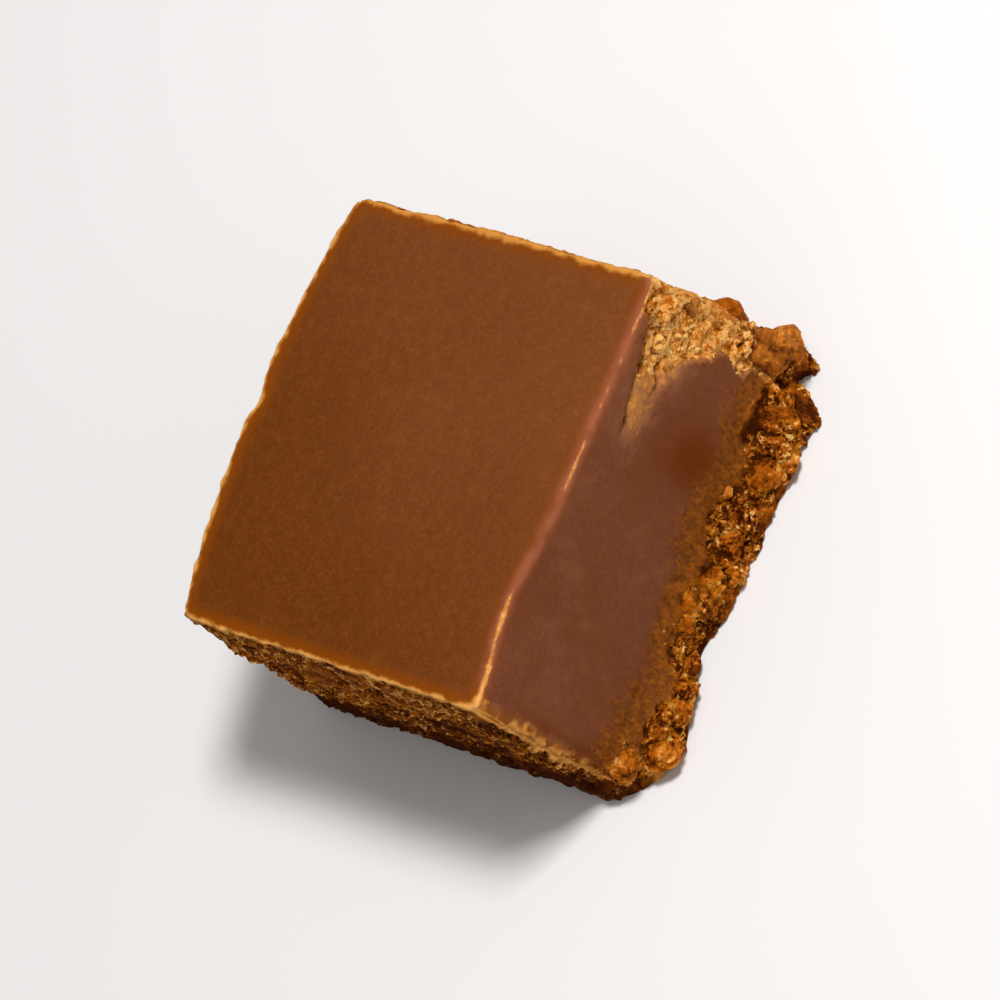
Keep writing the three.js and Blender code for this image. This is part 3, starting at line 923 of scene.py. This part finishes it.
def block_material(colours, torn):
    """Smooth fudge on the skin and the cuts, with a painted sheen on the top, painted shade in the crack, the
    hollows and on the lower left end, a painted glow just inside the rims and a pale line on them that is
    partly paler fudge and partly a painted highlight. The torn finish is also smeared above the foot and
    beside the tear, and crumb where it has torn."""
    make = Shader("fudge torn" if torn else "fudge smooth")
    edge, width, glow, skin, painted_sheen = map(make.attribute, ("edge", "width", "glow", "skin", "painted_sheen"))
    warm, hole, ridge, gilt = map(make.attribute, ("warm", "hole", "ridge", "gilt"))
    mottle = make.noise(0.0011, 4, 0.6)
    grain = make.noise(0.0003, 4, 0.7)
    side = make.maths("SUBTRACT", 1, skin)
    haze = make.span(make.noise(0.0035, 3, 0.6, (1, 1, 1.5)), 0.5, 0.72, 0.0, 0.22)
    patches = make.span(make.noise(0.004, 3, 0.6), 0.42, 0.7, 0.0, 0.4)
    # The skin takes the painted sheen towards the right and the front.
    smooth = make.cover(
        make.mix(colours.cut, make.mix(colours.skin, colours.sheen_lit_skin, painted_sheen), skin),
        (colours.gold, make.span(mottle, 0.4, 0.8, 0.0, 0.05)),
        (colours.gold, make.span(grain, 0.45, 0.8, 0.0, 0.11)),
        (colours.dark_and_shade, make.span(grain, 0.5, 0.25, 0.0, 0.13)),
        (colours.tan, make.maths("MULTIPLY", haze, side)),
        (colours.smear, make.maths("MULTIPLY", patches, side)),
        (colours.warm, warm),
    )
    if torn:
        smeared = streaks(make, colours, make.attribute("smear"))
        smooth = make.cover(smooth, smeared, dragged(make, colours, make.attribute("drag")))
    # Painted glow just inside the rims, and the front rim's band, which is partly a painted glow.
    beside = make.maths("MULTIPLY", make.span(edge, 0.3, 1.7, 1.0, 0.0), glow)
    across = make.maths("ADD", edge, make.sway(mottle, 0.12))
    band = make.maths("MULTIPLY", make.span(across, 0.05, 0.95, 0.8, 0.0), ridge)
    # Painted shade in the crack, the hollows and on the lower left end.
    cracked = make.span(hole, 0.4, 0.9, 0.0, 0.85)
    smooth = make.cover(smooth, (colours.dark_and_shade, cracked), (colours.glow, beside), (colours.ridge, band))
    # The pale line on the rims: partly paler fudge, partly a painted highlight.
    jagged = make.maths("MULTIPLY", make.sway(make.noise(0.0011, 4, 0.6), 0.3), width)
    share = make.maths("DIVIDE", make.maths("ADD", edge, jagged), width)
    pale = make.span(share, 0.3, 1.15, make.span(width, 0.1, 0.3, 0.0, 0.9), 0.0)
    line = make.cover(
        colours.gold,
        (colours.rim, make.span(width, 0.24, 0.42)),
        (colours.gold, make.span(share, 0.1, 0.9)),
        (colours.speck_and_glint, make.maths("MULTIPLY", ridge, make.span(grain, 0.5, 0.62))),
        (colours.gold, make.maths("MULTIPLY", gilt, 0.75)),
    )
    smooth = make.mix(smooth, line, pale)
    smooth_normal = make.bump(grain, 0.15, 0.00006)
    if not torn:
        return make.finish(smooth, 0.5, smooth_normal, specular=0.03, scatter=0.25)
    crumb, golden, lip, amber, rise = map(make.attribute, ("crumb", "golden", "lip", "amber", "rise"))
    # Painted highlight on the lip and on the high crumb.
    raised = make.maths("MULTIPLY_ADD", lip, 0.5, rise)
    broken, rough_normal = crumb_look(make, colours, golden, amber, hole, raised, -0.03)
    broken = make.mix(broken, line, make.maths("MULTIPLY", pale, 0.75))
    is_crumb = make.maths("ADD", crumb, make.sway(mottle, 0.2))
    is_crumb = make.span(make.maths("MULTIPLY_ADD", lip, 0.4, is_crumb), 0.3, 0.7)
    colour = make.mix(smooth, broken, is_crumb)
    normal = make.node("Mix", data_type="VECTOR")
    make.put(normal.inputs[0], is_crumb)
    make.link(smooth_normal, normal.inputs[4])
    make.link(rough_normal, normal.inputs[5])
    roughness = make.span(crumb, 0.1, 0.6, 0.5, 0.85)
    return make.finish(colour, roughness, normal.outputs[1], specular=0.03, scatter=0.25)


def crumb_material(colours):
    """Crumb, for the lumps and the loose crumbs."""
    make = Shader("fudge crumb")
    looks = map(make.attribute, ("golden", "amber", "hole", "rise"))
    colour, normal = crumb_look(make, colours, *looks, 0.21)
    return make.finish(colour, 0.42, normal, specular=0.015, scatter=0.6)


# Making the pieces


def make_piece(name, points, quads, attributes, materials, finish=0):
    """Puts the arrays into a mesh, in metres, and has the piece ride on the body. The finish says which of
    the materials each quad wears."""
    mesh = bpy.data.meshes.new(name)
    mesh.vertices.add(len(points))
    mesh.loops.add(quads.size)
    mesh.polygons.add(len(quads))
    mesh.vertices.foreach_set("co", ((points + BLOCK_AT) * METRES).astype(np.float32).reshape(-1))
    mesh.loops.foreach_set("vertex_index", quads.astype(np.int32).reshape(-1))
    mesh.polygons.foreach_set("loop_start", np.arange(0, quads.size, 4, dtype=np.int32))
    mesh.update(calc_edges=True)
    mesh.validate()
    mesh.polygons.foreach_set("use_smooth", np.ones(len(quads), dtype=bool))
    for key, values in attributes.items():
        made = mesh.attributes.new(key, "FLOAT", "POINT")
        made.data.foreach_set("value", values.astype(np.float32))
    for material in materials:
        mesh.materials.append(material)
    mesh.polygons.foreach_set("material_index", np.broadcast_to(finish, len(quads)).astype(np.int32))
    piece = bpy.data.objects.new(name, mesh)
    bpy.context.scene.collection.objects.link(piece)
    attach(piece, BODY)
    return piece


class FUDGE_OT_block(bpy.types.Operator):
    """Make the cut block, which stands for the CAD solid"""

    bl_idname = "fudge.block"
    bl_label = "Fudge block"

    def execute(self, context):
        scene = context.scene
        block, crumbs = scene.fudge_block, scene.fudge_crumbs
        points, quads, attributes = fudge_block(block, crumbs)
        materials = [block_material(scene.fudge_colours, torn) for torn in (False, True)]
        worked = np.maximum.reduce([attributes[name] for name in ("crumb", "smear", "drag", "lip")])
        torn = worked[quads].max(axis=1) > 0.001
        piece = make_piece("fudge_block", points, quads, attributes, materials, torn)
        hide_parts(NODE)
        return {"FINISHED"}


class FUDGE_OT_lumps(bpy.types.Operator):
    """Make the lumps that hang on the cuts"""

    bl_idname = "fudge.lumps"
    bl_label = "Torn lumps"

    def execute(self, context):
        scene = context.scene
        block, crumbs = scene.fudge_block, scene.fudge_crumbs
        material = crumb_material(scene.fudge_colours)
        rows = list(foot_lumps(block))
        front = [*HANGING_LUMPS, *(lump for lump in rows if lump[0][1] < -12), *tear_lumps(block)]
        others = [lump for lump in rows if lump[0][1] >= -12]
        others += [*end_lumps(block, "left", -1), *end_lumps(block, "right", 1)]
        for name, made, cells in (("front_lumps", front, 22), ("side_lumps", others, 14)):
            points, quads, attributes = lump_surfaces(made, cells, crumbs)
            attributes["golden"] = torn_front(points, block) * (1 - attributes["amber"])
            make_piece(name, points, quads, attributes, [material])
        return {"FINISHED"}


class FUDGE_OT_crumbs(bpy.types.Operator):
    """Make the loose crumbs on the cuts"""

    bl_idname = "fudge.crumbs"
    bl_label = "Loose crumbs"

    def execute(self, context):
        scene = context.scene
        block, crumbs = scene.fudge_block, scene.fudge_crumbs
        material = crumb_material(scene.fudge_colours)
        points, quads, attributes = fudge_block(block, crumbs)
        for name, count, low, high, cells in (
            ("coarse_crumbs", crumbs.coarse, 0.15, 0.42, 3),
            ("fine_crumbs", crumbs.fine, 0.08, 0.16, 2),
        ):
            seed = crumbs.seed + cells
            places, normals, chance = scattered(points, quads, attributes["loose"], count, seed)
            radii = low * (high / low) ** (chance.random(count) ** 2)
            balls, faces, made = crumb_balls(places, normals, radii, chance, cells)
            made["golden"] = torn_front(balls, block)
            make_piece(name, balls, faces, made, [material])
        return {"FINISHED"}


def area_light(name, place, size, power):
    """A square light of the size, at the place and turned towards the lit spot, in metres and watts."""
    light = bpy.data.lights.new(name, "AREA")
    light.size, light.energy = size, power
    lamp = bpy.data.objects.new(name, light)
    lamp.location = place
    lamp.rotation_euler = (Vector(LIT_SPOT) - Vector(place)).to_track_quat("-Z", "Y").to_euler()
    bpy.context.scene.collection.objects.link(lamp)


class FUDGE_OT_stage(bpy.types.Operator):
    """Make the pale floor, the lights and the camera"""

    bl_idname = "fudge.stage"
    bl_label = "Stage"

    def execute(self, context):
        scene = context.scene
        stage = scene.fudge_stage
        self.floor()
        self.world(scene, stage)
        area_light("overhead softbox", SOFTBOX_AT, SOFTBOX_WIDTH, stage.key)
        area_light("front fill", FILL_AT, FILL_WIDTH, stage.fill)
        self.camera(scene, stage)
        scene.view_settings.view_transform = "Standard"
        return {"FINISHED"}

    def floor(self):
        """A large square, very slightly uneven in its shading alone."""
        corners = [(x * FLOOR_HALF, y * FLOOR_HALF, 0) for x, y in ((-1, -1), (1, -1), (1, 1), (-1, 1))]
        mesh = bpy.data.meshes.new("floor")
        mesh.from_pydata(corners, [], [(0, 1, 2, 3)])
        make = Shader("matt white floor")
        uneven = make.bump(make.noise(0.002), 0.02, 0.0001)
        mesh.materials.append(make.finish((0.83, 0.82, 0.815), 0.6, uneven, specular=0.2, scatter=0))
        floor = bpy.data.objects.new("floor", mesh)
        bpy.context.scene.collection.objects.link(floor)

    def world(self, scene, stage):
        world = bpy.data.worlds.new("white surroundings")
        world.use_nodes = True
        background = world.node_tree.nodes["Background"]
        background.inputs["Color"].default_value = (1, 0.965, 0.935, 1)
        background.inputs["Strength"].default_value = stage.ambient
        scene.world = world

    def camera(self, scene, stage):
        """The camera stands at its distance from the aim point, at the azimuth and elevation, and is then
        rolled about its own view."""
        data = bpy.data.cameras.new("camera")
        data.lens, data.sensor_width = stage.lens, 36
        data.clip_start, data.clip_end = 0.01, 20
        camera = bpy.data.objects.new("camera", data)
        azimuth, elevation, roll = np.radians([stage.azimuth, stage.elevation, stage.roll])
        level = np.cos(elevation)
        back = Vector((np.sin(azimuth) * level, -np.cos(azimuth) * level, np.sin(elevation)))
        facing = (-back).to_track_quat("-Z", "Y").to_matrix()
        camera.matrix_world = Matrix.Translation(Vector(stage.aim) + back * stage.distance) @ (
            facing @ Matrix.Rotation(roll, 3, "Z")
        ).to_4x4()
        scene.collection.objects.link(camera)
        scene.camera = camera


class FUDGE_PT_panel(bpy.types.Panel):
    """Lists the steps that build the scene"""

    bl_label = "Chocolate fudge"
    bl_idname = "FUDGE_PT_panel"
    bl_space_type = "VIEW_3D"
    bl_region_type = "UI"
    bl_category = "Fudge"

    def draw(self, context):
        for operator in OPERATORS:
            self.layout.operator(operator.bl_idname)


SETTINGS = {
    "fudge_block": FudgeBlockSettings,
    "fudge_crumbs": FudgeCrumbSettings,
    "fudge_colours": FudgeColourSettings,
    "fudge_stage": FudgeStageSettings,
}
OPERATORS = (FUDGE_OT_stage, FUDGE_OT_block, FUDGE_OT_lumps, FUDGE_OT_crumbs)


def register():
    for kind in (*SETTINGS.values(), *OPERATORS, FUDGE_PT_panel):
        bpy.utils.register_class(kind)
    for name, kind in SETTINGS.items():
        setattr(bpy.types.Scene, name, PointerProperty(type=kind))


def unregister():
    for name in SETTINGS:
        delattr(bpy.types.Scene, name)
    for kind in reversed((*SETTINGS.values(), *OPERATORS, FUDGE_PT_panel)):
        bpy.utils.unregister_class(kind)


def main():
    register()
    bpy.ops.fudge.stage()
    bpy.ops.fudge.block()
    bpy.ops.fudge.lumps()
    bpy.ops.fudge.crumbs()


if __name__ == "__main__":
    main()
